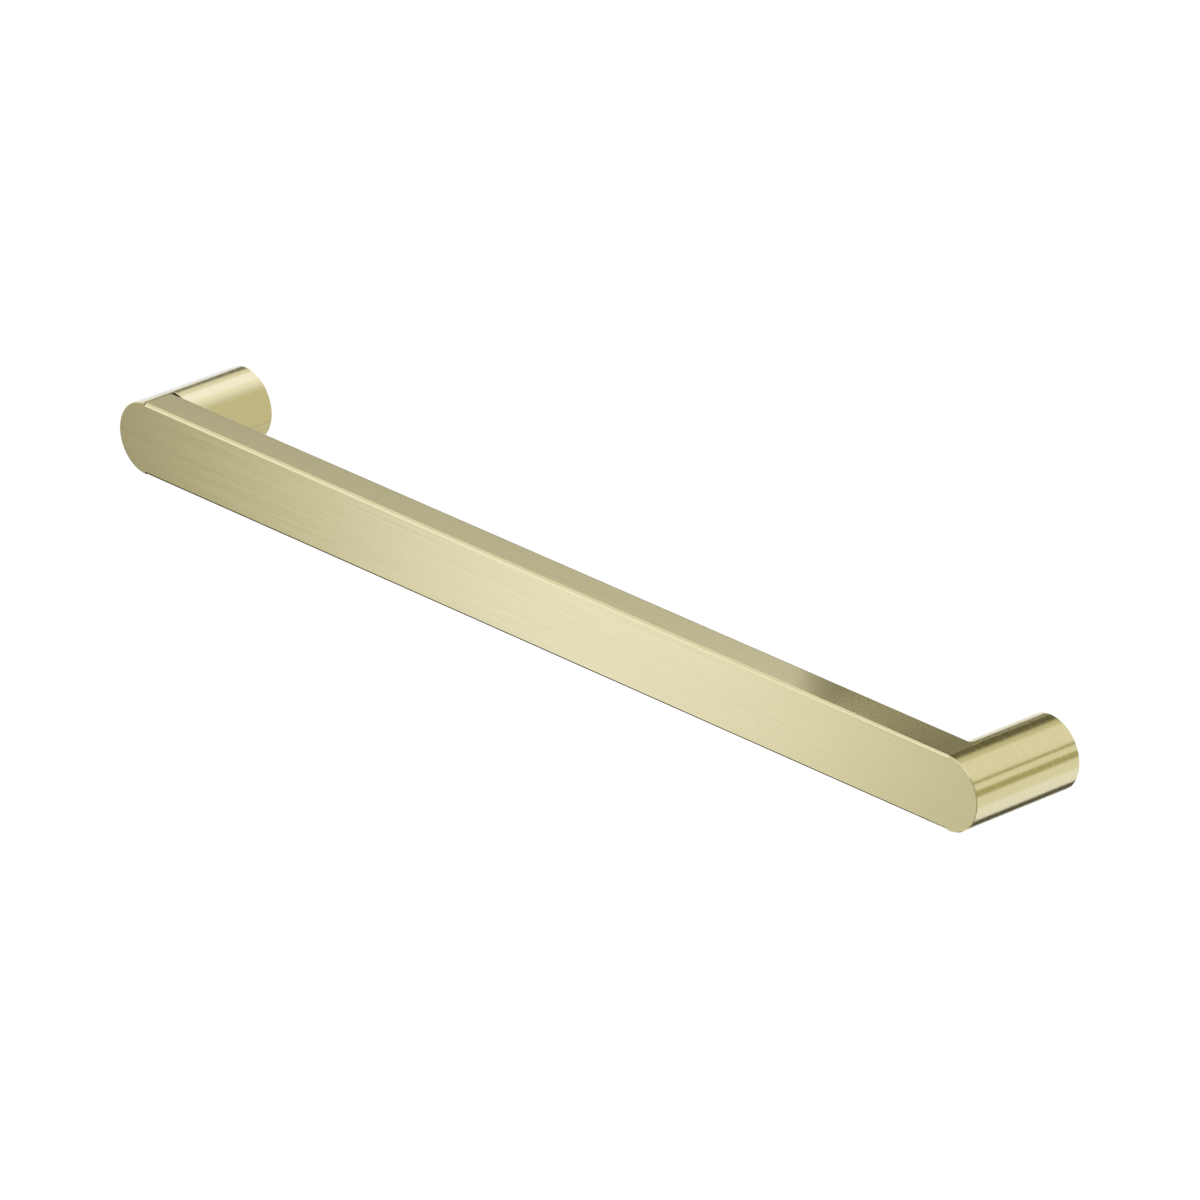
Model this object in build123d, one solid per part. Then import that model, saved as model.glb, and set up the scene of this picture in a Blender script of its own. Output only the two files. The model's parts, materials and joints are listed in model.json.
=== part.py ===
from build123d import *
import os

# Heated towel rail with one flat bar on two round posts, in millimetres.
# The origin is on the wall, midway between the posts and level with their axes.
# +X runs along the bar, +Z is up and the rail stands out from the wall along -Y.
# A depth is a distance out from the wall. An offset is measured from the right post's axis.

# Frame of the rail
POST_CENTRES = 592.0
POST_DIAMETER = 40.0
POST_WALL = 2.0
POST_FACE = 2.0
RIM_BREAK = 0.4
PROJECTION = 70.0
BAR_DEPTH = 20.0
BAR_WALL = 1.5
BAR_EDGE_RADIUS = 1.7
BAR_INNER_RADIUS = 0.5

# Wall brackets and their locking screws
BRACKET_CLEARANCE = 0.2
BRACKET_LENGTH = 13.0
FIXING_INSET = 8.0
FIXING_SPACING = 19.0
FIXING_HOLE = 4.5
COUNTERSINK = 8.4
GRUB_DIAMETER = 5.0
GRUB_FROM_WALL = 5.0
GRUB_RECESS = 0.4
GRUB_KEY = 2.5
GRUB_KEY_DEPTH = 1.6
DIMPLE_DEPTH = 2.0
DIMPLE_CLEARANCE = 0.1

# Cable hole
CABLE_DIAMETER = 7.0
CABLE_OFFSET = 6.0
GROMMET_WALL = 1.0
GROMMET_FLANGE = 1.5

# Heating cable and what holds it
ELEMENT_DIAMETER = 6.0
END_GAP = 12.0
CAP_LENGTH = 15.0
CAP_GRIP = 10.0
CAP_WALL = 1.0
CLIP_COUNT = 5
CLIP_LENGTH = 6.0
INSERT_HEIGHT = 30.0
JOINT_LENGTH = 24.0
JOINT_DIAMETER = 12.0
CUTOUT_LENGTH = 18.0
CUTOUT_HEIGHT = 8.0
CUTOUT_DEPTH = 5.0
CUTOUT_CORNER = 0.8
HOLDER_LENGTH = 10.0
LINK_RUN = 12.0
LINE_RUN = 15.0
BUSH_LENGTH = 8.0

# Leads
LEAD_DIAMETER = 2.8
LEAD_CORNER = 8.0
FERRULE_DIAMETER = 2.0
FERRULE_LENGTH = 5.0

# Terminal block, its carrier and the earth screw
POLE_PITCH = 7.5
BLOCK_GAP = 10.0
BLOCK_LENGTH = 12.0
BLOCK_FLOOR = 3.0
BLOCK_COVER = 2.6
POLE_GROOVE = 1.0
CAGE_SIZE = 4.4
CAGE_OPENING = 2.8
CAGE_INSET = 1.0
CLAMP_SCREW = 2.5
CLAMP_SPACING = 5.5
CLAMP_RECESS = 0.6
WELL_CLEARANCE = 0.3
CARRIER_THICKNESS = 1.5
CARRIER_WIDTH = 12.0
CARRIER_OFFSET = -2.0
CARRIER_MARGIN = 0.5
BLOCK_SCREW = 2.5
BLOCK_SCREW_HEAD = 4.4
BLOCK_SCREW_HEAD_HEIGHT = 1.6
BLOCK_SCREW_BITE = 2.4
EARTH_SCREW = 4.0
EARTH_SCREW_HEAD = 7.0
EARTH_SCREW_HEAD_HEIGHT = 2.2
EARTH_SCREW_REACH = 2.0
EARTH_OFFSET = -10.5
CLAMP_PLATE = 8.0
CLAMP_PLATE_THICKNESS = 1.0
SCREW_CLEARANCE = 0.1

# Where the frame's faces and middles lie
half_centres = POST_CENTRES / 2
post_radius = POST_DIAMETER / 2
bore_radius = post_radius - POST_WALL
bar_height = POST_DIAMETER
rear_face = PROJECTION - BAR_DEPTH
bar_middle = PROJECTION - BAR_DEPTH / 2
inner_depth = BAR_DEPTH - 2 * BAR_WALL
inner_height = bar_height - 2 * BAR_WALL
bracket_radius = bore_radius - BRACKET_CLEARANCE
dimple_floor = bracket_radius - DIMPLE_DEPTH
sleeve_radius = CABLE_DIAMETER / 2 + GROMMET_WALL
flange_radius = sleeve_radius + GROMMET_FLANGE

# Terminal block and leads, worked out from the back of the bar towards the wall
lead_radius = LEAD_DIAMETER / 2
ferrule_radius = FERRULE_DIAMETER / 2
cage_offset = CARRIER_OFFSET + BLOCK_FLOOR + CAGE_SIZE / 2
lead_offset = cage_offset - CAGE_OPENING / 2 + ferrule_radius
block_top = CARRIER_OFFSET + BLOCK_FLOOR + CAGE_SIZE + BLOCK_COVER
foot_depth = rear_face - CARRIER_THICKNESS
block_front = foot_depth - BLOCK_GAP
block_back = block_front - BLOCK_LENGTH
block_middle = block_front - BLOCK_LENGTH / 2
carrier_inner = CARRIER_OFFSET - CARRIER_THICKNESS
earth_x = half_centres + EARTH_OFFSET
earth_screw_tip = rear_face + BAR_WALL + EARTH_SCREW_REACH

# Stations along the bar, worked out from its right end
lead_x = half_centres + lead_offset
turn_x = lead_x - LEAD_CORNER
bush_end = turn_x - lead_radius
bush_start = bush_end - BUSH_LENGTH
cutout_end = bush_start - LINE_RUN
cutout_start = cutout_end - CUTOUT_LENGTH
joint_end = cutout_start - LINK_RUN
joint_start = joint_end - JOINT_LENGTH
cap_end = END_GAP + CAP_LENGTH - half_centres
element_start = cap_end - CAP_GRIP
poles = (-POLE_PITCH / 2, POLE_PITCH / 2)
clamp_depths = (block_middle - CLAMP_SPACING / 2, block_middle + CLAMP_SPACING / 2)


def rod_out(radius, near, far, x=0.0, z=0.0):
    """Round rod square to the wall, from one depth to another."""
    return extrude(Plane.XZ.offset(near) * Pos(x, z) * Circle(radius), far - near)


def rod_along(radius, start, end, depth, z=0.0):
    """Round rod along the bar, from one x to another."""
    return extrude(Plane.YZ.offset(start) * Pos(-depth, z) * Circle(radius), end - start)


def rod_up(radius, low, high, x, depth):
    """Upright round rod, from one height to another."""
    return extrude(Plane.XY.offset(low) * Pos(x, -depth) * Circle(radius), high - low)


def slab(x_range, depth_range, width, z=0.0):
    """Square block between two x and two depths, with its width up and down about z."""
    x_size = x_range[1] - x_range[0]
    depth_size = depth_range[1] - depth_range[0]
    middle = Pos(sum(x_range) / 2, -sum(depth_range) / 2, z)
    return middle * Box(x_size, depth_size, width)


def rail_bar():
    """Rectangular tube with rounded long edges, tapped at the back for the earth screw."""
    outside = RectangleRounded(BAR_DEPTH, bar_height, BAR_EDGE_RADIUS)
    inside = RectangleRounded(inner_depth, inner_height, BAR_INNER_RADIUS)
    section = Plane.YZ.offset(-half_centres) * Pos(-bar_middle, 0) * (outside - inside)
    tapped = rod_out(EARTH_SCREW / 2, rear_face, rear_face + BAR_WALL, earth_x)
    return extrude(section, POST_CENTRES) - tapped


def post(side):
    """Round post, bored from the wall and half cut away at the front to take the bar's end."""
    x = side * half_centres
    body = rod_out(post_radius, 0, PROJECTION, x)
    front_rim = body.edges().filter_by(GeomType.CIRCLE).sort_by(Axis.Y)[0]
    body = chamfer(front_rim, RIM_BREAK)
    body -= rod_out(bore_radius, 0, PROJECTION - POST_FACE, x)
    notch = sorted((x, x - side * POST_DIAMETER))
    body -= slab(notch, (rear_face, PROJECTION), 2 * POST_DIAMETER)
    return body - rod_up(GRUB_DIAMETER / 2, -post_radius, 0, x, GRUB_FROM_WALL)


def wall_bracket(side):
    """Round plug that the post slides over, with two countersunk holes and a cable hole."""
    x = side * half_centres
    plug = rod_out(bracket_radius, 0, BRACKET_LENGTH, x)
    dimple_radius = GRUB_DIAMETER / 2 + DIMPLE_CLEARANCE
    plug -= rod_up(dimple_radius, -bracket_radius, -dimple_floor, x, GRUB_FROM_WALL)
    sink_depth = (COUNTERSINK - FIXING_HOLE) / 2
    sink = Cone(FIXING_HOLE / 2, COUNTERSINK / 2, sink_depth, align=(Align.CENTER, Align.CENTER, Align.MIN))
    fixing_x = x - side * FIXING_INSET
    for z in (-FIXING_SPACING / 2, FIXING_SPACING / 2):
        plug -= rod_out(FIXING_HOLE / 2, 0, BRACKET_LENGTH, fixing_x, z)
        plug -= Plane.XZ.offset(BRACKET_LENGTH - sink_depth) * Pos(fixing_x, z) * sink
    return plug - rod_out(sleeve_radius, 0, BRACKET_LENGTH, x + side * CABLE_OFFSET)


def grub_screw(side):
    """Headless screw in the underside of a post, with its tip in the bracket's dimple."""
    x = side * half_centres
    low = GRUB_RECESS - post_radius
    key = Plane.XY.offset(low) * Pos(x, -GRUB_FROM_WALL) * RegularPolygon(GRUB_KEY / 2, 6, major_radius=False)
    return rod_up(GRUB_DIAMETER / 2, low, -dimple_floor, x, GRUB_FROM_WALL) - extrude(key, GRUB_KEY_DEPTH)


def hole_liner(side):
    """Sleeve and flange that fill a bracket's cable hole."""
    x = side * (half_centres + CABLE_OFFSET)
    sleeve = rod_out(sleeve_radius, 0, BRACKET_LENGTH, x)
    return sleeve + rod_out(flange_radius, BRACKET_LENGTH, BRACKET_LENGTH + GROMMET_FLANGE, x)


def cable_grommet():
    """Liner with the hole that the supply cable passes through."""
    cable_x = half_centres + CABLE_OFFSET
    return hole_liner(1) - rod_out(CABLE_DIAMETER / 2, 0, BRACKET_LENGTH + GROMMET_FLANGE, cable_x)


def end_cap():
    """Cup that seals the far end of the heating cable."""
    radius = ELEMENT_DIAMETER / 2
    cup = rod_along(radius + CAP_WALL, cap_end - CAP_LENGTH, cap_end, bar_middle)
    return cup - rod_along(radius, element_start, cap_end, bar_middle)


def insert(start, length):
    """Soft block that fits between the front and back walls inside the bar."""
    walls = (bar_middle - inner_depth / 2, bar_middle + inner_depth / 2)
    return slab((start, start + length), walls, INSERT_HEIGHT)


def element_clip(start):
    """Insert with a hole for the heating cable."""
    return insert(start, CLIP_LENGTH) - rod_along(ELEMENT_DIAMETER / 2, start, start + CLIP_LENGTH, bar_middle)


def element_clips():
    """Clips spaced evenly along the heating cable."""
    step = (joint_start - cap_end - CLIP_LENGTH) / CLIP_COUNT
    return [element_clip(cap_end + step * (n + 0.5)) for n in range(CLIP_COUNT)]


def cutout_section():
    """Rounded section of the limiter's case, in line with the upper lead."""
    section = RectangleRounded(CUTOUT_DEPTH, CUTOUT_HEIGHT, CUTOUT_CORNER)
    return Plane.YZ * Pos(-bar_middle, poles[1]) * section


def thermal_cutout():
    """Limiter that opens the line when the bar gets too hot."""
    return extrude(Pos(cutout_start, 0, 0) * cutout_section(), CUTOUT_LENGTH)


def cutout_holder():
    """Insert that grips the limiter and lets the neutral lead pass."""
    start = (cutout_start + cutout_end - HOLDER_LENGTH) / 2
    holder = insert(start, HOLDER_LENGTH)
    holder -= extrude(Pos(start, 0, 0) * cutout_section(), HOLDER_LENGTH)
    return holder - rod_along(lead_radius, start, start + HOLDER_LENGTH, bar_middle, poles[0])


def lead_bush():
    """Insert that holds the leads off the cut end of the bar, with a pocket for the earth screw's tip."""
    bush = insert(bush_start, BUSH_LENGTH)
    for z in poles:
        bush -= rod_along(lead_radius, bush_start, bush_end, bar_middle, z)
    return bush - rod_out(EARTH_SCREW / 2 + SCREW_CLEARANCE, rear_face, earth_screw_tip, earth_x)


def lead(start, z):
    """Lead that runs out of the bar's end, turns towards the wall and ends at the terminal block."""
    leaves = Vector(turn_x, -bar_middle, z)
    returns = Vector(lead_x, LEAD_CORNER - bar_middle, z)
    path = Polyline((start, -bar_middle, z), leaves, returns, (lead_x, -block_front, z))
    section = Plane(origin=path @ 0, z_dir=path % 0) * Circle(lead_radius)
    return sweep(section, path, transition=Transition.RIGHT)


def lead_ferrule(z):
    """Metal sleeve crimped solid on the stripped end of a lead."""
    return rod_out(ferrule_radius, block_front - FERRULE_LENGTH, block_front, lead_x, z)


def earth_clamp():
    """Square plate under the earth screw's head, which grips the supply's earth core."""
    sides = (earth_x - CLAMP_PLATE / 2, earth_x + CLAMP_PLATE / 2)
    plate = slab(sides, (foot_depth - CLAMP_PLATE_THICKNESS, foot_depth), CLAMP_PLATE)
    return plate - rod_out(EARTH_SCREW / 2 + SCREW_CLEARANCE, 0, rear_face, earth_x)


def earth_screw():
    """Cheese head screw through the clamp plate and the carrier into the bar."""
    under_head = foot_depth - CLAMP_PLATE_THICKNESS
    head = rod_out(EARTH_SCREW_HEAD / 2, under_head - EARTH_SCREW_HEAD_HEIGHT, under_head, earth_x)
    return head + rod_out(EARTH_SCREW / 2, under_head, earth_screw_tip, earth_x)


def terminal_carrier():
    """Folded angle with its foot on the bar and its leg beside the terminal block."""
    leg_x = (half_centres + carrier_inner, half_centres + CARRIER_OFFSET)
    foot_x = (earth_x - CLAMP_PLATE / 2 - CARRIER_MARGIN, half_centres + CARRIER_OFFSET)
    carrier = slab(foot_x, (foot_depth, rear_face), CARRIER_WIDTH)
    carrier += slab(leg_x, (block_back, rear_face), CARRIER_WIDTH)
    carrier -= rod_out(EARTH_SCREW / 2 + SCREW_CLEARANCE, foot_depth, rear_face, earth_x)
    return carrier - rod_along(BLOCK_SCREW / 2, *leg_x, block_middle)


def square_bar(size, near, far, z):
    """Square bar through a pole of the terminal block, from one depth to another."""
    middle = half_centres + cage_offset
    return slab((middle - size / 2, middle + size / 2), (near, far), size, z)


def terminal_block():
    """Moulded block with a passage for each cage, wells for the screws and a groove between the poles."""
    floor = half_centres + CARRIER_OFFSET
    top = half_centres + block_top
    body = slab((floor, top), (block_back, block_front), len(poles) * POLE_PITCH)
    for z in poles:
        body -= square_bar(CAGE_SIZE, block_back, block_front, z)
        for depth in clamp_depths:
            body -= rod_along(CLAMP_SCREW / 2 + WELL_CLEARANCE, half_centres + cage_offset, top, depth, z)
    body -= slab((top - BLOCK_COVER, top), (block_back, block_front), POLE_GROOVE)
    return body - rod_along(BLOCK_SCREW / 2, floor, floor + BLOCK_SCREW_BITE, block_middle)


def terminal_cage(z):
    """Square brass cage of one pole, tapped for its clamp screws."""
    middle = half_centres + cage_offset
    ends = (block_back + CAGE_INSET, block_front - CAGE_INSET)
    cage = square_bar(CAGE_SIZE, *ends, z) - square_bar(CAGE_OPENING, *ends, z)
    for depth in clamp_depths:
        cage -= rod_along(CLAMP_SCREW / 2, middle, middle + CAGE_SIZE, depth, z)
    return cage


def terminal_screw(z, depth):
    """Clamp screw with its tip down on the ferrule."""
    tip = lead_x + ferrule_radius
    top = half_centres + block_top - CLAMP_RECESS
    return rod_along(CLAMP_SCREW / 2, tip, top, depth, z)


def block_screw():
    """Screw through the carrier's leg into the floor of the terminal block."""
    leg = half_centres + carrier_inner
    head = rod_along(BLOCK_SCREW_HEAD / 2, leg - BLOCK_SCREW_HEAD_HEIGHT, leg, block_middle)
    tip = half_centres + CARRIER_OFFSET + BLOCK_SCREW_BITE
    return head + rod_along(BLOCK_SCREW / 2, leg, tip, block_middle)


nodes = {
    "rail_bar": rail_bar(),
    "left_post": post(-1),
    "right_post": post(1),
    "wall_brackets": [wall_bracket(side) for side in (-1, 1)],
    "grub_screws": [grub_screw(side) for side in (-1, 1)],
    "cable_grommet": cable_grommet(),
    "blanking_plug": hole_liner(-1),
    "heating_element": rod_along(ELEMENT_DIAMETER / 2, element_start, joint_start, bar_middle),
    "element_end_cap": end_cap(),
    "element_clips": element_clips(),
    "element_joint": rod_along(JOINT_DIAMETER / 2, joint_start, joint_end, bar_middle),
    "thermal_cutout": thermal_cutout(),
    "cutout_holder": cutout_holder(),
    "cutout_link": rod_along(lead_radius, joint_end, cutout_start, bar_middle, poles[1]),
    "lead_bush": lead_bush(),
    "line_lead": lead(cutout_end, poles[1]),
    "neutral_lead": lead(joint_end, poles[0]),
    "lead_ferrules": [lead_ferrule(z) for z in poles],
    "earth_clamp": earth_clamp(),
    "earth_screw": earth_screw(),
    "terminal_carrier": terminal_carrier(),
    "terminal_block": terminal_block(),
    "terminal_cages": [terminal_cage(z) for z in poles],
    "terminal_screws": [terminal_screw(z, depth) for z in poles for depth in clamp_depths],
    "block_screw": block_screw(),
}

os.makedirs("parts", exist_ok=True)
for name, shape in nodes.items():
    pieces = shape if isinstance(shape, list) else [shape]
    solids = [solid for piece in pieces for solid in piece.solids()]
    export_step(Compound(children=solids, label=name), f"parts/{name}.step")
    print(name, len(solids), "solids", round(sum(solid.volume for solid in solids)), "mm3")
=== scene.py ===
# %% [markdown]
# # A heated towel rail in brushed gold
# The rail is one flat warmed bar between two round posts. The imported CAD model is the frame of
# this scene: the places and sizes that the pieces share are read from it, so that each new piece
# lies where its CAD solid does. All lengths are metres. +X runs along the bar, +Z is up and the
# wall is the plane y = 0.

# %% Load the frame
import json
import math

import bmesh
import bpy
from mathutils import Matrix, Vector


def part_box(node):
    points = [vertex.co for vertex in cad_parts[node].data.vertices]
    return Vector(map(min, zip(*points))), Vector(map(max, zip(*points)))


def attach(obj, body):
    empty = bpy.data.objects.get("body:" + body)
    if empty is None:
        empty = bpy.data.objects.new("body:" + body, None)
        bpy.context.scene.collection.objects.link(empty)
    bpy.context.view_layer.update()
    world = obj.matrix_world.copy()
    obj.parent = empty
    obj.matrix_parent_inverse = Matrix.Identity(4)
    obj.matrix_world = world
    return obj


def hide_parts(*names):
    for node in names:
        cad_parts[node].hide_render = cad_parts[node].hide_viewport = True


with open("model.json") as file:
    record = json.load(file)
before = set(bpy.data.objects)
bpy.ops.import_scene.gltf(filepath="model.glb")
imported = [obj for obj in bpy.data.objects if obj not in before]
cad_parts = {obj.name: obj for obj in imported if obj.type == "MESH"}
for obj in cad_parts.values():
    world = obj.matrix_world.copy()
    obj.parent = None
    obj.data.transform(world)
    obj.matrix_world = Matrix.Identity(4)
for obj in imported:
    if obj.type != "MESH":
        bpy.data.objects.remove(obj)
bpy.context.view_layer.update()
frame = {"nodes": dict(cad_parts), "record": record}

bar_low, bar_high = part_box("rail_bar")
bracket_low, bracket_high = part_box("wall_brackets")

MM = 0.001
LEFT, RIGHT = -1, 1
post_x = bar_high.x
post_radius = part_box("right_post")[1].z
front_y = bar_low.y
rear_y = bar_high.y
bracket_front_y = bracket_low.y
bracket_radius = bracket_high.z

# %% [markdown]
# ## Camera
# The photograph was taken from the front right and above, through a very long lens: the bar's long
# edges stay almost parallel. A camera is easiest to place by a target, two angles and a distance,
# and the long lens follows from how large the rail is in the picture.

# %% Camera
TARGET = Vector((-0.0258, 0.0, -0.0242))
AZIMUTH = math.radians(47.0)
ELEVATION = math.radians(24.1)
DISTANCE = 5.96
SENSOR = 36.0
LENS = 353.0
CLIP_END = 100.0


def direction(azimuth, elevation):
    """Way out from the rail, with the azimuth counted from the front towards the right."""
    return Vector((
        math.sin(azimuth) * math.cos(elevation),
        -math.cos(azimuth) * math.cos(elevation),
        math.sin(elevation),
    ))


back = direction(AZIMUTH, ELEVATION)
camera_data = bpy.data.cameras.new("photo_camera")
camera_data.sensor_width = SENSOR
camera_data.lens = LENS
camera_data.clip_end = CLIP_END
camera = bpy.data.objects.new("photo_camera", camera_data)
camera.location = TARGET + back * DISTANCE
camera.rotation_mode = "QUATERNION"
camera.rotation_quaternion = (-back).to_track_quat("-Z", "Y")
bpy.context.scene.collection.objects.link(camera)
bpy.context.scene.camera = camera
print("camera at", tuple(round(c, 3) for c in camera.location))

# %% [markdown]
# ## From a bmesh to a finished piece
# Each piece is shaped in a bmesh, in place. Flat faces next to rounded edges only look flat in
# polished metal if the rounding doesn't bend their normals, so the mesh gets face-weighted normals.
# The modifier is applied at once, which leaves a plain mesh with nothing live on it.

# %% Finish a piece
SHARP_ANGLE = math.radians(35)


def apply_modifiers(piece):
    """Bakes the piece's modifiers into its mesh."""
    graph = bpy.context.evaluated_depsgraph_get()
    baked = bpy.data.meshes.new_from_object(piece.evaluated_get(graph))
    piece.modifiers.clear()
    old = piece.data
    piece.data = baked
    bpy.data.meshes.remove(old)


def link_mesh(name, bm):
    """Turns a bmesh into an object in the scene, with its faces pointing outwards."""
    bmesh.ops.recalc_face_normals(bm, faces=bm.faces)
    mesh = bpy.data.meshes.new(name)
    bm.to_mesh(mesh)
    bm.free()
    made = bpy.data.objects.new(name, mesh)
    bpy.context.scene.collection.objects.link(made)
    return made


def finish_piece(piece, slot, *nodes):
    """Shades the piece, hangs it on the frame and lets it stand for its CAD nodes."""
    piece.data.shade_smooth()
    piece.data.set_sharp_from_angle(angle=SHARP_ANGLE)
    weighted = piece.modifiers.new("weighted", "WEIGHTED_NORMAL")
    weighted.keep_sharp = True
    apply_modifiers(piece)
    piece.data.name = piece.name
    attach(piece, "root")
    if nodes:
        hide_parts(*nodes)
    print(piece.name, len(piece.data.polygons), "faces")
    return piece


print("edges sharper than", round(math.degrees(SHARP_ANGLE)), "degrees stay sharp")

# %% [markdown]
# ## The bar
# The real bar is a length of rectangular steel tube with small rounded edges, sawn square. A cube
# scaled to the CAD box with its four long edges bevelled is that section. An inset on each end
# gives the wall of the tube, and bridging the two inner outlines makes it hollow.

# %% Bar
BAR_EDGE_RADIUS = 1.7 * MM
BAR_WALL = 1.5 * MM
EDGE_SEGMENTS = 10
ENDWAYS = 0.9


def rail_bar():
    """Rectangular tube with rounded long edges."""
    bm = bmesh.new()
    bmesh.ops.create_cube(bm, size=1.0)
    bmesh.ops.scale(bm, vec=bar_high - bar_low, verts=bm.verts)
    bmesh.ops.translate(bm, vec=(bar_high + bar_low) / 2, verts=bm.verts)
    long_edges = [e for e in bm.edges if abs(e.verts[0].co.x - e.verts[1].co.x) > post_x]
    bmesh.ops.bevel(bm, geom=long_edges, offset=BAR_EDGE_RADIUS, offset_type="OFFSET",
                    segments=EDGE_SEGMENTS, profile=0.5, affect="EDGES", material=-1)
    bm.normal_update()
    ends = [f for f in bm.faces if abs(f.normal.x) > ENDWAYS]
    bmesh.ops.inset_individual(bm, faces=ends, thickness=BAR_WALL, use_even_offset=True)
    openings = [e for f in ends for e in f.edges]
    bmesh.ops.delete(bm, geom=ends, context="FACES_ONLY")
    bmesh.ops.bridge_loops(bm, edges=openings)
    return link_mesh("rail_bar_tube", bm)


bar = finish_piece(rail_bar(), "brushed_gold", "rail_bar")

# %% [markdown]
# ## Turned shapes and drilled holes
# Tubes, plugs, sleeves and drills are all turned shapes, so one helper spins a profile about a line
# that stands square to the wall. Holes come out of a Boolean modifier, with a drill as its cutter.
# The cut can leave corners almost in one place, and slivers between them would spoil the mesh, so
# such corners are merged.

# %% Spin and drill
NEAR = 0.01 * MM
ROUND_STEPS = 128


def spin_profile(bm, points, x, z=0.0, steps=ROUND_STEPS):
    """Spins (radius, y) points about a line square to the wall, through x and z."""
    verts = [bm.verts.new((x, y, z + radius)) for radius, y in points]
    edges = [bm.edges.new(pair) for pair in zip(verts, verts[1:])]
    bmesh.ops.spin(bm, geom=verts + edges, cent=(x, 0, z), axis=(0, 1, 0), dvec=(0, 0, 0),
                   angle=math.tau, steps=steps, use_merge=True, use_duplicate=False)
    bmesh.ops.remove_doubles(bm, verts=bm.verts, dist=NEAR)


def cut_away(piece, cutter_bm):
    """Takes the cutter's volume out of the piece."""
    cutter = link_mesh(piece.name + "_cutter", cutter_bm)
    cut = piece.modifiers.new("cut", "BOOLEAN")
    cut.operation = "DIFFERENCE"
    cut.solver = "EXACT"
    cut.object = cutter
    apply_modifiers(piece)
    bpy.data.objects.remove(cutter)
    clean = bmesh.new()
    clean.from_mesh(piece.data)
    bmesh.ops.remove_doubles(clean, verts=clean.verts, dist=NEAR)
    bmesh.ops.dissolve_degenerate(clean, edges=clean.edges, dist=NEAR)
    clean.to_mesh(piece.data)
    clean.free()


print("turned shapes have", ROUND_STEPS, "steps unless told otherwise")

# %% [markdown]
# ## The posts
# A post is a round tube with a closed front. Half of its front is cut away along its axis, and the
# bar's end sits in that half, so that disc and bar make one flat pill-shaped face. A spun profile
# gives the closed tube. Its seam lies in the plane of the cut, so the faces of the inner half can
# simply be deleted, and the cut wall is filled between the outer and the inner outline. The
# shoulder stands a hair behind the bar, which shows as a dark line at the joint.

# %% Post lap and rim
POST_WALL = 2.0 * MM
POST_FACE = 2.0 * MM
RIM_BREAK = 0.4 * MM
RIM_SEGMENTS = 1
LAP_CLEARANCE = 0.5 * MM
lap_y = rear_y + LAP_CLEARANCE
post_bore = post_radius - POST_WALL


def break_rim(bm, x):
    """Breaks the outer edge of the front face with a small chamfer."""
    rim = []
    for edge in bm.edges:
        reach = min(math.hypot(v.co.x - x, v.co.z) for v in edge.verts)
        if reach > post_radius - NEAR and all(v.co.y < front_y + NEAR for v in edge.verts):
            rim.append(edge)
    bmesh.ops.bevel(bm, geom=rim, offset=RIM_BREAK, offset_type="OFFSET", segments=RIM_SEGMENTS,
                    profile=0.5, affect="EDGES", material=-1)


def cut_half_lap(bm, x, side):
    """Removes the inner half of the front and closes the wall that the cut lays open."""
    centres = [(f, f.calc_center_median()) for f in bm.faces]
    inner = [f for f, centre in centres
             if side * (centre.x - x) < -NEAR and centre.y < lap_y - NEAR]
    bmesh.ops.delete(bm, geom=inner, context="FACES")
    for end in (-1, 1):
        corner = [v for v in bm.verts if abs(v.co.y - lap_y) < NEAR and abs(v.co.x - x) < NEAR
                  and v.co.z * end > post_bore - NEAR]
        bm.edges.new(corner)
    open_edges = [e for e in bm.edges if len(e.link_faces) < 2]
    across = [e for e in open_edges if all(abs(v.co.y - lap_y) < NEAR for v in e.verts)]
    along = [e for e in open_edges if all(abs(v.co.x - x) < NEAR for v in e.verts)]
    for outline in (across, along):
        bmesh.ops.contextual_create(bm, geom=outline)


print("shoulder of the lap at", round(lap_y / MM, 2), "mm")

# %% [markdown]
# ## The post's tube and its screw hole
# Each post is held by a grub screw from below, near the wall. Its drill is turned by half a step,
# so that none of its corners falls on a line of the tube, where a Boolean cuts least cleanly.

# %% Posts
GRUB_DIAMETER = 5.0 * MM
GRUB_FROM_WALL = 5.0 * MM
GRUB_STEPS = 48


def post_tube(name, side):
    """Round post with a closed front, a half lap for the bar and a hole for its grub screw."""
    x = side * post_x
    floor_y = front_y + POST_FACE
    hole_y = -2 * GRUB_FROM_WALL
    bm = bmesh.new()
    spin_profile(bm, [
        (0.0, front_y), (post_radius, front_y), (post_radius, lap_y), (post_radius, hole_y),
        (post_radius, 0.0), (post_bore, 0.0), (post_bore, hole_y), (post_bore, lap_y),
        (post_bore, floor_y), (0.0, floor_y),
    ], x)
    break_rim(bm, x)
    cut_half_lap(bm, x, side)
    made = link_mesh(name, bm)
    drill = bmesh.new()
    bmesh.ops.create_cone(drill, cap_ends=True, segments=GRUB_STEPS, radius1=GRUB_DIAMETER / 2,
                          radius2=GRUB_DIAMETER / 2, depth=post_radius)
    half_step = Matrix.Rotation(math.pi / GRUB_STEPS, 3, "Z")
    bmesh.ops.rotate(drill, cent=(0, 0, 0), matrix=half_step, verts=drill.verts)
    bmesh.ops.translate(drill, vec=(x, -GRUB_FROM_WALL, -post_radius), verts=drill.verts)
    cut_away(made, drill)
    return made


posts = [
    finish_piece(post_tube("left_post_tube", LEFT), "brushed_gold", "left_post"),
    finish_piece(post_tube("right_post_tube", RIGHT), "brushed_gold", "right_post"),
]

# %% [markdown]
# ## Wall brackets
# A bracket is a turned plug that is screwed to the wall, and the post slides over it. It only shows
# from behind. Its two screw holes are countersunk on the front, and a third hole lets the cable in.
# Hole and countersink are one turned drill, so that each hole is a single clean cut.

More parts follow.
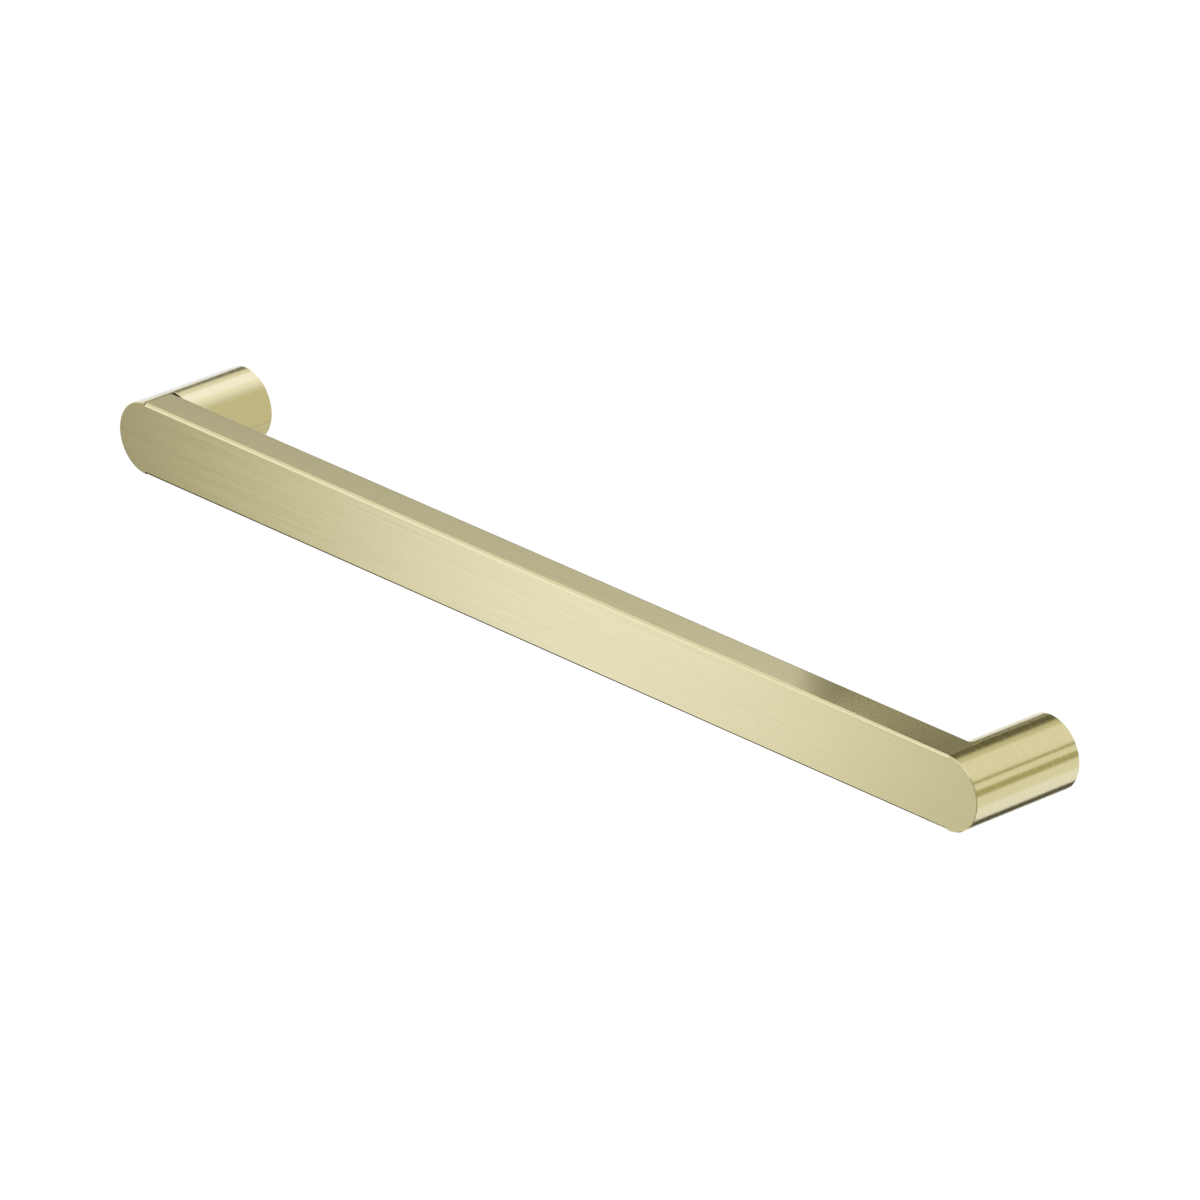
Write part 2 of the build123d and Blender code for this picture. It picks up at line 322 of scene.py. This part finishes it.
# %% Brackets
FIXING_INSET = 8.0 * MM
FIXING_SPACING = 19.0 * MM
FIXING_DIAMETER = 4.5 * MM
COUNTERSINK = 8.4 * MM
CABLE_OFFSET = 6.0 * MM
LINER_RADIUS = 4.5 * MM
BRACKET_EDGE = 0.3 * MM
DRILL_CLEARANCE = 2.0 * MM
DRILL_STEPS = 64


def wall_bracket(name, side):
    """Turned plug with two countersunk screw holes and a cable hole."""
    x = side * post_x
    bm = bmesh.new()
    spin_profile(bm, [
        (0.0, bracket_front_y), (bracket_radius, bracket_front_y),
        (bracket_radius, -BRACKET_EDGE), (bracket_radius - BRACKET_EDGE, 0.0), (0.0, 0.0),
    ], x)
    made = link_mesh(name, bm)
    hole = FIXING_DIAMETER / 2
    sink = COUNTERSINK / 2 - hole
    tip_y = bracket_front_y - DRILL_CLEARANCE
    for z in (-FIXING_SPACING / 2, FIXING_SPACING / 2):
        drill = bmesh.new()
        spin_profile(drill, [
            (0.0, DRILL_CLEARANCE), (hole, DRILL_CLEARANCE), (hole, bracket_front_y + sink),
            (hole + sink + DRILL_CLEARANCE, tip_y), (0.0, tip_y),
        ], x - side * FIXING_INSET, z, DRILL_STEPS)
        cut_away(made, drill)
    passage = bmesh.new()
    spin_profile(passage, [
        (0.0, DRILL_CLEARANCE), (LINER_RADIUS, DRILL_CLEARANCE), (LINER_RADIUS, tip_y), (0.0, tip_y),
    ], x + side * CABLE_OFFSET, steps=DRILL_STEPS)
    cut_away(made, passage)
    return made


brackets = [wall_bracket("wall_bracket_left", LEFT), wall_bracket("wall_bracket_right", RIGHT)]
finish_piece(brackets[0], "bracket_metal", "wall_brackets")
finish_piece(brackets[1], "bracket_metal")

# %% [markdown]
# ## Grub screws
# A grub screw is a headless screw with a hexagon socket, driven in from below until it is flush.
# It could be a cylinder with a cut, but an outline for each does it without a Boolean: a hexagon is
# bridged to the round rim, then each outline is pushed in to its own depth and closed.

# %% Grub screws
GRUB_KEY = 2.5 * MM
GRUB_KEY_DEPTH = 1.6 * MM
KEY_SIDES = 6
grub_low, grub_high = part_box("grub_screws")


def raise_outline(bm, edges, height):
    """Extrudes an outline upwards and returns its new edges."""
    made = bmesh.ops.extrude_edge_only(bm, edges=edges)["geom"]
    corners = [g for g in made if isinstance(g, bmesh.types.BMVert)]
    bmesh.ops.translate(bm, vec=(0, 0, height), verts=corners)
    return [g for g in made if isinstance(g, bmesh.types.BMEdge)]


def ring(bm, radius, segments):
    """Adds an open circle at the origin and returns its edges."""
    made = bmesh.ops.create_circle(bm, cap_ends=False, radius=radius, segments=segments)
    return list(dict.fromkeys(e for v in made["verts"] for e in v.link_edges))


def grub_screw(name, side):
    """Headless screw with a hexagon socket in its lower end."""
    bm = bmesh.new()
    rim = ring(bm, GRUB_DIAMETER / 2, GRUB_STEPS)
    key = ring(bm, GRUB_KEY / math.sqrt(3), KEY_SIDES)
    bmesh.ops.bridge_loops(bm, edges=rim + key)
    bmesh.ops.contextual_create(bm, geom=raise_outline(bm, key, GRUB_KEY_DEPTH))
    bmesh.ops.contextual_create(bm, geom=raise_outline(bm, rim, grub_high.z - grub_low.z))
    bmesh.ops.translate(bm, vec=(side * post_x, -GRUB_FROM_WALL, grub_low.z), verts=bm.verts)
    return link_mesh(name, bm)


screws = [grub_screw("grub_screw_left", LEFT), grub_screw("grub_screw_right", RIGHT)]
finish_piece(screws[0], "screw_steel", "grub_screws")
finish_piece(screws[1], "screw_steel")

# %% [markdown]
# ## Cable grommet and blanking plug
# The supply comes in on the right, through a rubber grommet. The left bracket is the same part, so
# its cable hole is stopped with a plug. Both are one turned shape with a flange, with as many steps
# as the hole that they fill, and only the plug reaches in to the axis.

# %% Cable grommet and blanking plug
CABLE_RADIUS = 3.5 * MM
CLOSED = 0.0
LINER_EDGE = 0.3 * MM
liner_front_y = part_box("cable_grommet")[0].y
flange_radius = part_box("cable_grommet")[1].z


def hole_liner(name, side, core_radius):
    """Rubber sleeve with a flange, open for the cable or closed where the core has no radius."""
    bm = bmesh.new()
    profile = [
        (core_radius, 0.0), (LINER_RADIUS, 0.0), (LINER_RADIUS, bracket_front_y),
        (flange_radius, bracket_front_y), (flange_radius, liner_front_y + LINER_EDGE),
        (flange_radius - LINER_EDGE, liner_front_y), (core_radius, liner_front_y),
    ]
    if core_radius > CLOSED:
        profile.append(profile[0])
    spin_profile(bm, profile, side * (post_x + CABLE_OFFSET), steps=DRILL_STEPS)
    return link_mesh(name, bm)


grommet = hole_liner("cable_grommet_sleeve", RIGHT, CABLE_RADIUS)
stopper = hole_liner("blanking_plug_stopper", LEFT, CLOSED)
liners = [
    finish_piece(grommet, "seal_rubber", "cable_grommet"),
    finish_piece(stopper, "seal_rubber", "blanking_plug"),
]

# %% [markdown]
# ## Materials in code
# A material is a small network of nodes. Most of the work in one is arithmetic, so a helper adds a
# math node, feeds it from other nodes or with plain numbers, and hands back what it puts out.

# %% Node helpers
NUMBER = "ShaderNodeMath"
VECTOR = "ShaderNodeVectorMath"


def new_material(name):
    """Makes a material and returns it with its nodes and the call that links them."""
    material = bpy.data.materials.new(name)
    material.use_nodes = True
    return material, material.node_tree.nodes, material.node_tree.links.new


def add_math(tree, kind, operation, *feeds):
    """Adds a math node, fed in turn by sockets or numbers, and returns its output."""
    node = tree.nodes.new(kind)
    node.operation = operation
    for socket, feed in zip(node.inputs, feeds):
        if isinstance(feed, bpy.types.NodeSocket):
            tree.links.new(feed, socket)
        else:
            socket.default_value = feed
    return node.outputs[0]


print("math nodes come as", NUMBER, "or", VECTOR)

# %% [markdown]
# ## Brushed grain
# Brushing leaves fine parallel scratches. Noise that is squeezed hard across the scratches and
# stretched along them looks like that, and one node group serves every finish here: it is given
# how many scratches there are to the metre along each axis, and it puts out a colour, a roughness,
# a height and a normal that vary together. A bump node would blur scratches as fine as a pixel into
# dots, so the normal is tipped straight by the noise, across the grain. Two noises of different
# size are added, because one alone looks too even. Each averages one half, so their sum swings
# round one.

# %% Grain group
STREAK_DETAIL = 0.0
FINE_SHARE = 1.0
COARSE_SHARE = 0.7
MEAN_HEIGHT = 1.0
PLAIN_VALUE = 1.0


def grain_group():
    """Node group that turns a stretched noise into colour, roughness, height and a tipped normal."""
    tree = bpy.data.node_groups.new("brushed_grain", "ShaderNodeTree")
    for label, kind in (("Colour", "NodeSocketColor"), ("Roughness", "NodeSocketFloat"),
                        ("Scratches", "NodeSocketVector"), ("Contrast", "NodeSocketFloat"),
                        ("Unevenness", "NodeSocketFloat"), ("Tip", "NodeSocketVector")):
        tree.interface.new_socket(label, in_out="INPUT", socket_type=kind)
    for label, kind in (("Colour", "NodeSocketColor"), ("Roughness", "NodeSocketFloat"),
                        ("Height", "NodeSocketFloat"), ("Normal", "NodeSocketVector")):
        tree.interface.new_socket(label, in_out="OUTPUT", socket_type=kind)
    new, link = tree.nodes.new, tree.links.new
    given = new("NodeGroupInput").outputs
    put = new("NodeGroupOutput").inputs
    place = new("ShaderNodeTexCoord").outputs["Object"]
    stretched = add_math(tree, VECTOR, "MULTIPLY", place, given["Scratches"])
    streaks = []
    for share in (FINE_SHARE, COARSE_SHARE):
        noise = new("ShaderNodeTexNoise")
        noise.inputs["Scale"].default_value = share
        noise.inputs["Detail"].default_value = STREAK_DETAIL
        link(stretched, noise.inputs["Vector"])
        streaks.append(noise.outputs["Fac"])
    height = add_math(tree, NUMBER, "ADD", *streaks)
    swing = add_math(tree, NUMBER, "SUBTRACT", height, MEAN_HEIGHT)
    value = add_math(tree, NUMBER, "MULTIPLY_ADD", swing, given["Contrast"], PLAIN_VALUE)
    shade = new("ShaderNodeHueSaturation")
    link(given["Colour"], shade.inputs["Color"])
    link(value, shade.inputs["Value"])
    rough = add_math(tree, NUMBER, "MULTIPLY_ADD", swing, given["Unevenness"], given["Roughness"])
    normal = new("ShaderNodeNewGeometry").outputs["Normal"]
    tipped = add_math(tree, VECTOR, "MULTIPLY_ADD", given["Tip"], swing, normal)
    link(shade.outputs["Color"], put["Colour"])
    link(rough, put["Roughness"])
    link(height, put["Height"])
    link(add_math(tree, VECTOR, "NORMALIZE", tipped), put["Normal"])
    return tree


grain = grain_group()
print("grain group with", len(grain.nodes), "nodes")

# %% [markdown]
# ## Brushed metal
# Scratches spread a reflection sideways, so the shader is anisotropic, with its tangent taken round
# the axis of the piece. The group's roughness and normal are linked only where they vary: a value
# that is the same all over is set on the shader itself.

# %% Brushed metal
QUARTER_TURN = 0.25
UNTIPPED = (0.0, 0.0, 0.0)


def place_grain(nodes, **values):
    """Puts the grain group into a material, with values of its own."""
    placed = nodes.new("ShaderNodeGroup")
    placed.node_tree = grain
    for label, value in values.items():
        placed.inputs[label].default_value = value
    return placed.outputs


def brushed_metal(name, colour, axis, roughness, scratches, contrast, unevenness=0.0, tip=UNTIPPED,
                  anisotropy=0.0, turn=0.0):
    """Metal whose highlights spread round the given axis, or along it after a quarter turn."""
    material, nodes, link = new_material(name)
    shader = nodes["Principled BSDF"].inputs
    shader["Metallic"].default_value = 1.0
    shader["Roughness"].default_value = roughness
    shader["Anisotropic"].default_value = anisotropy
    shader["Anisotropic Rotation"].default_value = turn
    brushed = place_grain(nodes, Colour=colour, Roughness=roughness, Scratches=scratches,
                          Contrast=contrast, Unevenness=unevenness, Tip=tip)
    link(brushed["Colour"], shader["Base Color"])
    if unevenness:
        link(brushed["Roughness"], shader["Roughness"])
    if any(tip):
        link(brushed["Normal"], shader["Normal"])
    tangent = nodes.new("ShaderNodeTangent")
    tangent.direction_type = "RADIAL"
    tangent.axis = axis
    link(tangent.outputs["Tangent"], shader["Tangent"])
    return material


print("brushed metals use", grain.name)

# %% [markdown]
# ## Gold
# The coating is a pale warm gold. The bar is brushed along its length, and so are the discs of the
# posts, while the posts are brushed finely round and round. The grain runs on object coordinates,
# so it crosses from bar to disc without a seam. The bar's rounded edges come smoother from the
# rolls than the brush leaves the flats, and the rims of the discs are broken smooth, so both have a
# finish of their own. The cut faces of the left joint are painted nearly black: that is painted
# shade for the deep, narrow gap at the joint, not a colour of the gold.

# %% Gold materials
GOLD = (0.80, 0.735, 0.45, 1.0)
# Nearly black: painted shade for the gap at the left joint, not the gold's own colour.
CUT_PAINTED_SHADE = (0.04, 0.03, 0.012, 1.0)
FLAT = 0.9999

gold_long = brushed_metal("gold_brushed_long", GOLD, "X", roughness=0.24,
                          scratches=(14.0, 500.0, 1000.0), contrast=0.05,
                          tip=(0.0, 0.0, 0.015), anisotropy=0.95)
gold_edge = brushed_metal("gold_edge", GOLD, "X", roughness=0.16, scratches=(2.0, 900.0, 900.0),
                          contrast=0.04)
gold_round = brushed_metal("gold_brushed_round", GOLD, "Y", roughness=0.19,
                           scratches=(30.0, 1500.0, 30.0), contrast=0.04, unevenness=0.1,
                           anisotropy=0.46, turn=QUARTER_TURN)
# Dark metal for the left joint's cut faces: painted shade rather than a finish of the gold.
cut_painted_shade = brushed_metal("cut_painted_shade", CUT_PAINTED_SHADE, "X", roughness=0.5, scratches=(600.0, 600.0, 600.0),
                         contrast=0.2, unevenness=0.1, tip=(0.0, 0.1, 0.1))

bar_golds = [gold_long, gold_edge]
post_golds = [gold_round, gold_long, gold_edge, cut_painted_shade]


def bar_gold(face):
    """Finish of one face of the bar."""
    return gold_long if max(abs(c) for c in face.normal) > FLAT else gold_edge


def post_gold(face, side):
    """Finish of one face of a post."""
    if face.center.y < front_y + NEAR:
        return gold_long
    if face.center.y < front_y + RIM_BREAK and abs(face.normal.y) > NEAR:
        return gold_edge
    in_lap = abs(face.center.x - side * post_x) < NEAR or abs(face.center.y - lap_y) < NEAR
    # Only the left joint's cut faces get the dark painted shade; the right joint's faces stay gold.
    return cut_painted_shade if side == LEFT and in_lap else gold_round


for gold in bar_golds:
    bar.data.materials.append(gold)
for face in bar.data.polygons:
    face.material_index = bar_golds.index(bar_gold(face))
for post, side in zip(posts, (LEFT, RIGHT)):
    for gold in post_golds:
        post.data.materials.append(gold)
    for face in post.data.polygons:
        face.material_index = post_golds.index(post_gold(face, side))
print("gold on", bar.name, *[post.name for post in posts])

# %% [markdown]
# ## Plain steel, rubber and the hidden parts
# Turned and plated metals use the same grain, moulded and rubber parts a mottled surface. Their
# colours are those of the record's slots, so a CAD node and the piece beside it always agree.

# %% Other finishes
METALS = ("bracket_metal", "screw_steel", "plated_steel", "terminal_brass", "tinned_copper")
MOTTLES = (900.0, 900.0, 900.0)
SKIN_RELIEF = 0.02 * MM


def moulded(name, colour):
    """Moulded plastic or rubber with a faint mottle and a fine skin."""
    material, nodes, link = new_material(name)
    shader = nodes["Principled BSDF"].inputs
    skin = place_grain(nodes, Colour=colour, Roughness=0.6, Scratches=MOTTLES, Contrast=0.15,
                       Unevenness=0.1)
    link(skin["Colour"], shader["Base Color"])
    link(skin["Roughness"], shader["Roughness"])
    relief = nodes.new("ShaderNodeBump")
    relief.inputs["Distance"].default_value = SKIN_RELIEF
    link(skin["Height"], relief.inputs["Height"])
    link(relief.outputs["Normal"], shader["Normal"])
    return material


def turned(name, colour):
    """Turned or plated metal with fine marks round it."""
    return brushed_metal(name, colour, "Y", roughness=0.38, scratches=(300.0, 3000.0, 300.0),
                         contrast=0.15, unevenness=0.1, tip=(0.0, 0.1, 0.0), anisotropy=0.5,
                         turn=QUARTER_TURN)


finishes = {"brushed_gold": gold_long}
for entry in frame["record"]["materials"]:
    slot, colour = entry["slot"], (*entry["base_color"], 1.0)
    if slot not in finishes:
        finishes[slot] = turned(slot, colour) if slot in METALS else moulded(slot, colour)

for pieces, slot in ((brackets, "bracket_metal"), (screws, "screw_steel"), (liners, "seal_rubber")):
    for piece in pieces:
        piece.data.materials.append(finishes[slot])
node_slots = {part["node"]: part["material_slot"] for part in frame["record"]["subparts"]}
for name, node in frame["nodes"].items():
    node.data.materials.clear()
    node.data.materials.append(finishes[node_slots[name]])
print("finishes", ", ".join(finishes))

# %% [markdown]
# ## Studio
# The rail hangs in a white tent over a pale floor. A uniform white world shows every colour about
# as it is written, but metal in it would look flat, so cards stand round the rail.

# %% World
WHITE = (1.0, 1.0, 1.0, 1.0)

scene = bpy.context.scene
scene.view_settings.view_transform = "Standard"
world = bpy.data.worlds.new("white_tent")
scene.world = world
world.use_nodes = True
tent = world.node_tree.nodes["Background"].inputs
tent["Color"].default_value = WHITE
tent["Strength"].default_value = 1.0
print("world of strength", tent["Strength"].default_value)

# %% [markdown]
# ## Floor
# A pale floor in white light is a little grey. It is lifted to white for the camera and in
# reflections, while the soft light that it throws back stays as it was. It is clear from below, so
# that the rail can be looked at from there too.

# %% Floor
FLOOR_DROP = 1.0
FLOOR_SIZE = 60.0
FLOOR_COLOUR = (0.9, 0.9, 0.9, 1.0)
FLOOR_LIFT = 0.15


def flat_board(name, width, height):
    """Adds a flat board round the origin that faces up."""
    bm = bmesh.new()
    bmesh.ops.create_grid(bm, x_segments=1, y_segments=1, size=0.5)
    bmesh.ops.scale(bm, vec=(width, height, 1), verts=bm.verts)
    mesh = bpy.data.meshes.new(name)
    bm.to_mesh(mesh)
    bm.free()
    board = bpy.data.objects.new(name, mesh)
    scene.collection.objects.link(board)
    return board


def mix_by_side(nodes, link, front, rear):
    """Shows one shader on the front of a face and another on its back."""
    side = nodes.new("ShaderNodeNewGeometry")
    mixed = nodes.new("ShaderNodeMixShader")
    link(side.outputs["Backfacing"], mixed.inputs[0])
    link(front.outputs[0], mixed.inputs[1])
    link(rear.outputs[0], mixed.inputs[2])
    return mixed


def floor_material():
    """Pale floor, lifted to white for camera and mirrored rays, and clear from below."""
    material, nodes, link = new_material("pale_floor")
    tree = material.node_tree
    nodes.clear()
    out = nodes.new("ShaderNodeOutputMaterial")
    matt = nodes.new("ShaderNodeBsdfDiffuse")
    matt.inputs["Color"].default_value = FLOOR_COLOUR
    path = nodes.new("ShaderNodeLightPath").outputs
    mirrored = add_math(tree, NUMBER, "MAXIMUM", path["Is Glossy Ray"], path["Is Transmission Ray"])
    seen = add_math(tree, NUMBER, "MAXIMUM", path["Is Camera Ray"], mirrored)
    lift = nodes.new("ShaderNodeEmission")
    link(add_math(tree, NUMBER, "MULTIPLY", seen, FLOOR_LIFT), lift.inputs["Strength"])
    lifted = nodes.new("ShaderNodeAddShader")
    link(matt.outputs[0], lifted.inputs[0])
    link(lift.outputs[0], lifted.inputs[1])
    clear = nodes.new("ShaderNodeBsdfTransparent")
    link(mix_by_side(nodes, link, lifted, clear).outputs[0], out.inputs["Surface"])
    return material


floor = flat_board("floor", FLOOR_SIZE, FLOOR_SIZE)
floor.data.transform(Matrix.Translation((0, 0, -FLOOR_DROP)))
floor.data.materials.append(floor_material())
print("floor at", -FLOOR_DROP)

# %% [markdown]
# ## Cards
# A metal surface shows what stands round it. In a studio that is done with cards: white, grey and
# black boards, out of the picture, each placed where one face of the rail mirrors it. A card here
# is a plane that only reflections can see, so it casts no shadow and lights nothing else. Its
# brightness is a ramp in its own coordinates, and a second ramp may serve its back.

# %% Card tones
TINT_OF_GREEN = 0.12


def tone(level, blue):
    """Grey of a brightness, the warmer the less blue it keeps."""
    return (level, level * (1 - TINT_OF_GREEN * (1 - blue)), level * blue, 1.0)


def plain(level, blue):
    """The one stop of a card that has the same tone all over."""
    return [(0.0, tone(level, blue))]


def ramp(nodes, link, axis, stops):
    """Emission that follows (place, colour) stops along one axis of the card."""
    glow = nodes.new("ShaderNodeEmission")
    if len(stops) == 1:
        glow.inputs["Color"].default_value = stops[0][1]
        return glow
    place = nodes.new("ShaderNodeTexCoord")
    split = nodes.new("ShaderNodeSeparateXYZ")
    link(place.outputs["Object"], split.inputs[0])
    low, high = stops[0][0], stops[-1][0]
    spread = nodes.new("ShaderNodeMapRange")
    spread.inputs["From Min"].default_value = low
    spread.inputs["From Max"].default_value = high
    link(split.outputs[axis], spread.inputs["Value"])
    colours = nodes.new("ShaderNodeValToRGB")
    elements = colours.color_ramp.elements
    while len(elements) < len(stops):
        elements.new(0.5)
    for element, (where, colour) in zip(elements, stops):
        element.position = (where - low) / (high - low)
        element.color = colour
    link(spread.outputs["Result"], colours.inputs["Fac"])
    link(colours.outputs["Color"], glow.inputs["Color"])
    return glow


print("a warm middle grey is", tuple(round(c, 2) for c in tone(0.5, 0.7)))

# %% [markdown]
# ## Placing a card
# A card is given by its middle, the way it faces and the way that is up on it. Most cards here are
# upright, and a level one is given by the stretch that it covers above or below the rail.

# %% Card helper
UP = (0, 0, 1)
TO_WALL = (0, 1, 0)
HIDDEN_FROM = ("camera", "diffuse", "transmission", "volume_scatter", "shadow")


def card(name, centre, facing, width, height, front, rear=None, up=UP, axis="Y"):
    """Board that shows its ramp to reflections alone, on one side or on both."""
    board = flat_board(name, width, height)
    z = Vector(facing).normalized()
    x = Vector(up).cross(z).normalized()
    turned_to = Matrix((x, z.cross(x), z)).transposed().to_4x4()
    board.matrix_world = Matrix.Translation(centre) @ turned_to
    material, nodes, link = new_material(name)
    material.cycles.emission_sampling = "NONE"
    nodes.clear()
    out = nodes.new("ShaderNodeOutputMaterial")
    shown = ramp(nodes, link, axis, front)
    if rear:
        shown = mix_by_side(nodes, link, shown, ramp(nodes, link, axis, rear))
    link(shown.outputs[0], out.inputs["Surface"])
    board.data.materials.append(material)
    for kind in HIDDEN_FROM:
        setattr(board, f"visible_{kind}", False)
    print("card", name)


def level_card(name, x, y, z, front):
    """Board that lies level at z over a stretch of x and of y, and faces the rail."""
    card(name, (sum(x) / 2, sum(y) / 2, z), (0, 0, -z), x[1] - x[0], y[1] - y[0], front, up=TO_WALL)


print("cards are hidden from", ", ".join(HIDDEN_FROM), "rays")

# %% [markdown]
# ## Cards for the bar's front
# The front face mirrors a board that stands in front on the left, with a bright middle that fades
# to both sides. The rounded upper edge looks over that board to a window and to the ceiling, which
# gives the edge its bright line, and a dark board under the rail gives the lower edge a dark one.

# %% Cards for the bar's front
FRONT_CARD_DISTANCE = 1.0
FRONT_CARD_WIDTH = 1.4
FRONT_CARD_TOP, FRONT_CARD_LOW = 0.30, -1.2
LOW_CARD_HEIGHT = -0.25

front_sight = -back.reflect(Vector((0, -1, 0)))
front_up = (Vector(UP) - front_sight * front_sight.z).normalized()
front_spot = Vector((0, front_y, 0)) + front_sight * FRONT_CARD_DISTANCE
card("front_card", front_spot + front_up * (FRONT_CARD_TOP + FRONT_CARD_LOW) / 2, -front_sight,
     FRONT_CARD_WIDTH, FRONT_CARD_TOP - FRONT_CARD_LOW, up=front_up, axis="X", front=[
         (-0.30, tone(0.48, 0.74)), (-0.15, tone(1.02, 0.98)), (0.0, tone(1.16, 1.16)),
         (0.15, tone(0.70, 0.82)), (0.30, tone(0.17, 0.40)),
     ])
card("window_board", (-1.1, -1.2, -0.075), (-front_sight.x, -front_sight.y, 0), width=2.6, height=1.15,
     front=plain(1.09, 1.14))
level_card("low_card", x=(-0.8, 0.1), y=(-0.25, 0.06), z=LOW_CARD_HEIGHT, front=plain(0.05, 0.75))

# %% [markdown]
# ## Cards for the bar's top
# The top face mirrors a grey board behind the rail. A divider that stands square to the wall
# darkens the right end of the top and the upper side of the right post. Its other side is lighter,
# and the left post mirrors that one.

# %% Cards for the bar's top
TOP_CARD_AZIMUTH = math.radians(198.5)
TOP_CARD_ELEVATION = math.radians(18.5)
TOP_CARD_DISTANCE = 1.1

top_sight = direction(TOP_CARD_AZIMUTH, TOP_CARD_ELEVATION)
bar_top = Vector((0, (front_y + rear_y) / 2, bar_high.z))
card("top_card", bar_top + top_sight * TOP_CARD_DISTANCE, -top_sight, width=1.8, height=0.39,
     front=plain(0.17, 0.8))

DIVIDER_FOOT = Vector((0.053, 0.088, 0))
DIVIDER_TILT = math.radians(-12.5)
DIVIDER_LENGTH = 1.5
DIVIDER_LOW, DIVIDER_TOP = -0.95, 1.1
divider_up = Vector((0, math.sin(DIVIDER_TILT), math.cos(DIVIDER_TILT)))
divider_along = Vector((0, math.cos(DIVIDER_TILT), -math.sin(DIVIDER_TILT)))
divider_middle = (DIVIDER_LOW + DIVIDER_TOP) / 2
divider_centre = DIVIDER_FOOT + divider_up * divider_middle + divider_along * DIVIDER_LENGTH / 2


def up_the_divider(*stops):
    """Stops given by their height above the rail, in the card's own coordinates."""
    return [(height - divider_middle, colour) for height, colour in stops]


card("divider_card", divider_centre, (-1, 0, 0), DIVIDER_LENGTH, DIVIDER_TOP - DIVIDER_LOW,
     up=divider_up,
     front=up_the_divider((0.30, tone(0.65, 0.76)), (0.80, tone(0.90, 1.05))),
     rear=up_the_divider((0.04, tone(0.95, 1.05)), (0.055, tone(0.11, 0.60)), (0.33, tone(0.14, 0.60)),
                         (0.44, tone(0.67, 0.70)), (1.0, tone(0.60, 0.80))))

# %% [markdown]
# ## Strips for the right post
# A round post mirrors its whole surroundings in narrow bands. Strips round the right post give it
# its thin dark lines, its dark underside and one thin glint. A strip is given by the angle at which
# the post sees it and by how wide it looks from there.

# %% Strips for the right post
STRIP_DISTANCE = 0.5
GLINT_DISTANCE = 0.2
STRIP_NEAR, STRIP_FAR = -0.05, 1.3


def strip(name, angle, width, front, distance=STRIP_DISTANCE):
    """Board along Y, seen from the right post at an angle above +X, both angles in degrees."""
    way = Vector((math.cos(math.radians(angle)), 0, math.sin(math.radians(angle))))
    centre = Vector((post_x, (STRIP_NEAR + STRIP_FAR) / 2, 0)) + way * distance
    across = 2 * distance * math.tan(math.radians(width) / 2)
    card(name, centre, -way, across, STRIP_FAR - STRIP_NEAR, front, up=TO_WALL)


strip("low_strip", angle=-102.5, width=34.0, front=plain(0.08, 0.7))
strip("glint_strip", angle=149.0, width=2.5, front=plain(1.0, 0.7), distance=GLINT_DISTANCE)
strip("upper_strip", angle=31.3, width=8.0, front=plain(0.41, 0.5))
strip("lower_strip", angle=0.7, width=18.0, front=plain(0.43, 0.52))

# %% [markdown]
# ## Boards round both posts
# Boards on the right and on the left, above and below give the broad tones between the bands. The
# broken rims of the discs look to the front right, where a warm grey board stands and another lies,
# so that the rims show as thin lines against the white.

# %% Boards round both posts
ROOF_HEIGHT = 1.2
ROOF_SPLIT = -1.05
ROOF_STEP = 0.5
GROUND_HEIGHT = -0.9

card("right_card", (1.3, 0.8, 0.45), (-1, 0, 0), width=1.9, height=3.1, front=plain(0.83, 0.90))
card("left_card", (-1.5, 1.35, -0.35), (1, 0, 0), width=1.7, height=1.4, front=plain(0.95, 1.3))
card("rim_card", (1.0, -0.8, -0.15), (-1, 1, 0), width=0.9, height=1.6, front=plain(0.4, 0.7))

level_card("sky_card", (ROOF_SPLIT, -0.25), (ROOF_STEP, 1.65), ROOF_HEIGHT, plain(1.12, 1.2))
level_card("roof_left", (-2.4, ROOF_SPLIT), (ROOF_STEP, 1.2), ROOF_HEIGHT, plain(0.86, 0.85))
level_card("roof_front", (-2.4, 0.3), (-1.2, ROOF_STEP), ROOF_HEIGHT, plain(0.87, 0.96))
level_card("roof_right", (0.08, 1.3), (ROOF_STEP, 1.75), ROOF_HEIGHT, plain(0.85, 0.90))
level_card("ground_right", (0.3, 1.3), (0.0, 1.75), GROUND_HEIGHT, plain(0.93, 1.08))
level_card("ground_left", (-0.8, DIVIDER_FOOT.x), (0.6, 2.5), GROUND_HEIGHT, plain(0.55, 0.7))
level_card("rim_ground", (0.1, 0.9), (-0.9, -0.2), GROUND_HEIGHT, plain(0.4, 0.7))
